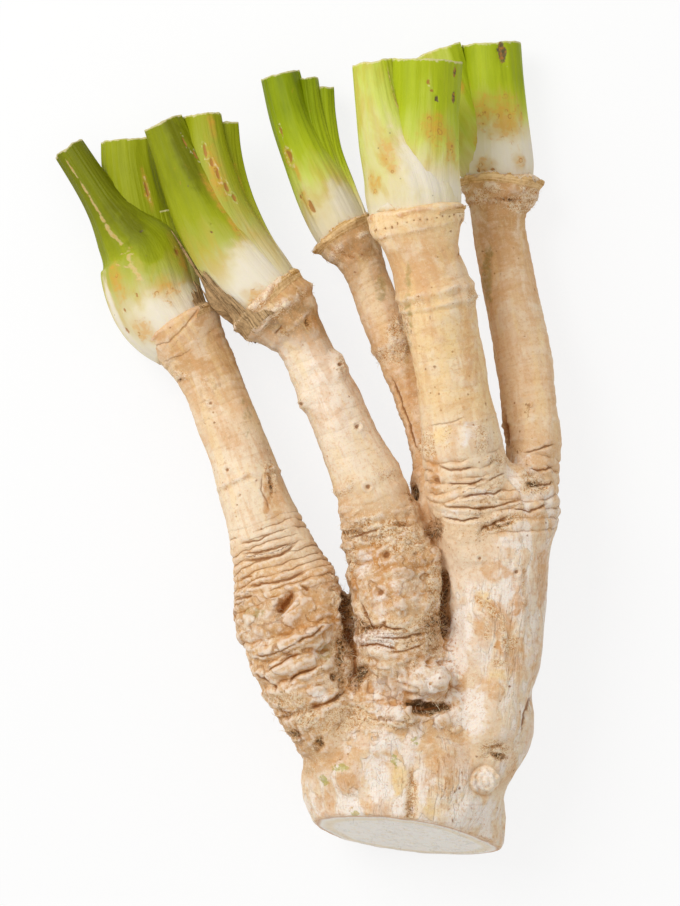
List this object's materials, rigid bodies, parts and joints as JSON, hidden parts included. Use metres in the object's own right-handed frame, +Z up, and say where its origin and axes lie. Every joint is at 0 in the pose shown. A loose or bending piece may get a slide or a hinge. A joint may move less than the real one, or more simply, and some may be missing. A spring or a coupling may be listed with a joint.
{
  "type": "horseradish root",
  "caption": "Fresh horseradish root lying down: a thick cut taproot that forks into slim ringed necks, each ending in a bundle of short cut green leaf stalks.",
  "frame": {"origin": "under the middle of the whole root, on the surface that it lies on", "axes": "+Y from the cut taproot to the leaf stalks, +Z up, +X to the right seen from above"},
  "size_m": [0.1524, 0.2474, 0.0566],
  "materials": {
    "root_skin": "rough corky skin",
    "leaf_stalk": "smooth fresh stalk"
  },
  "bodies": {
    "root": {"root": "root_skin", "crown1_thin_stalk": "leaf_stalk", "crown1_side_stub": "leaf_stalk", "crown1_broad_stalk": "leaf_stalk", "crown2_left_stalk": "leaf_stalk", "crown2_middle_stalk": "leaf_stalk", "crown2_right_stalk": "leaf_stalk", "crown3_broad_stalk": "leaf_stalk", "crown3_middle_stalk": "leaf_stalk", "crown3_right_stalk": "leaf_stalk", "crown4_left_stalk": "leaf_stalk", "crown4_right_stalk": "leaf_stalk", "crown4_back_stalk": "leaf_stalk", "crown5_right_stalk": "leaf_stalk", "crown5_left_stalk": "leaf_stalk", "crown5_back_stalk": "leaf_stalk"}
  },
  "joints": []
}
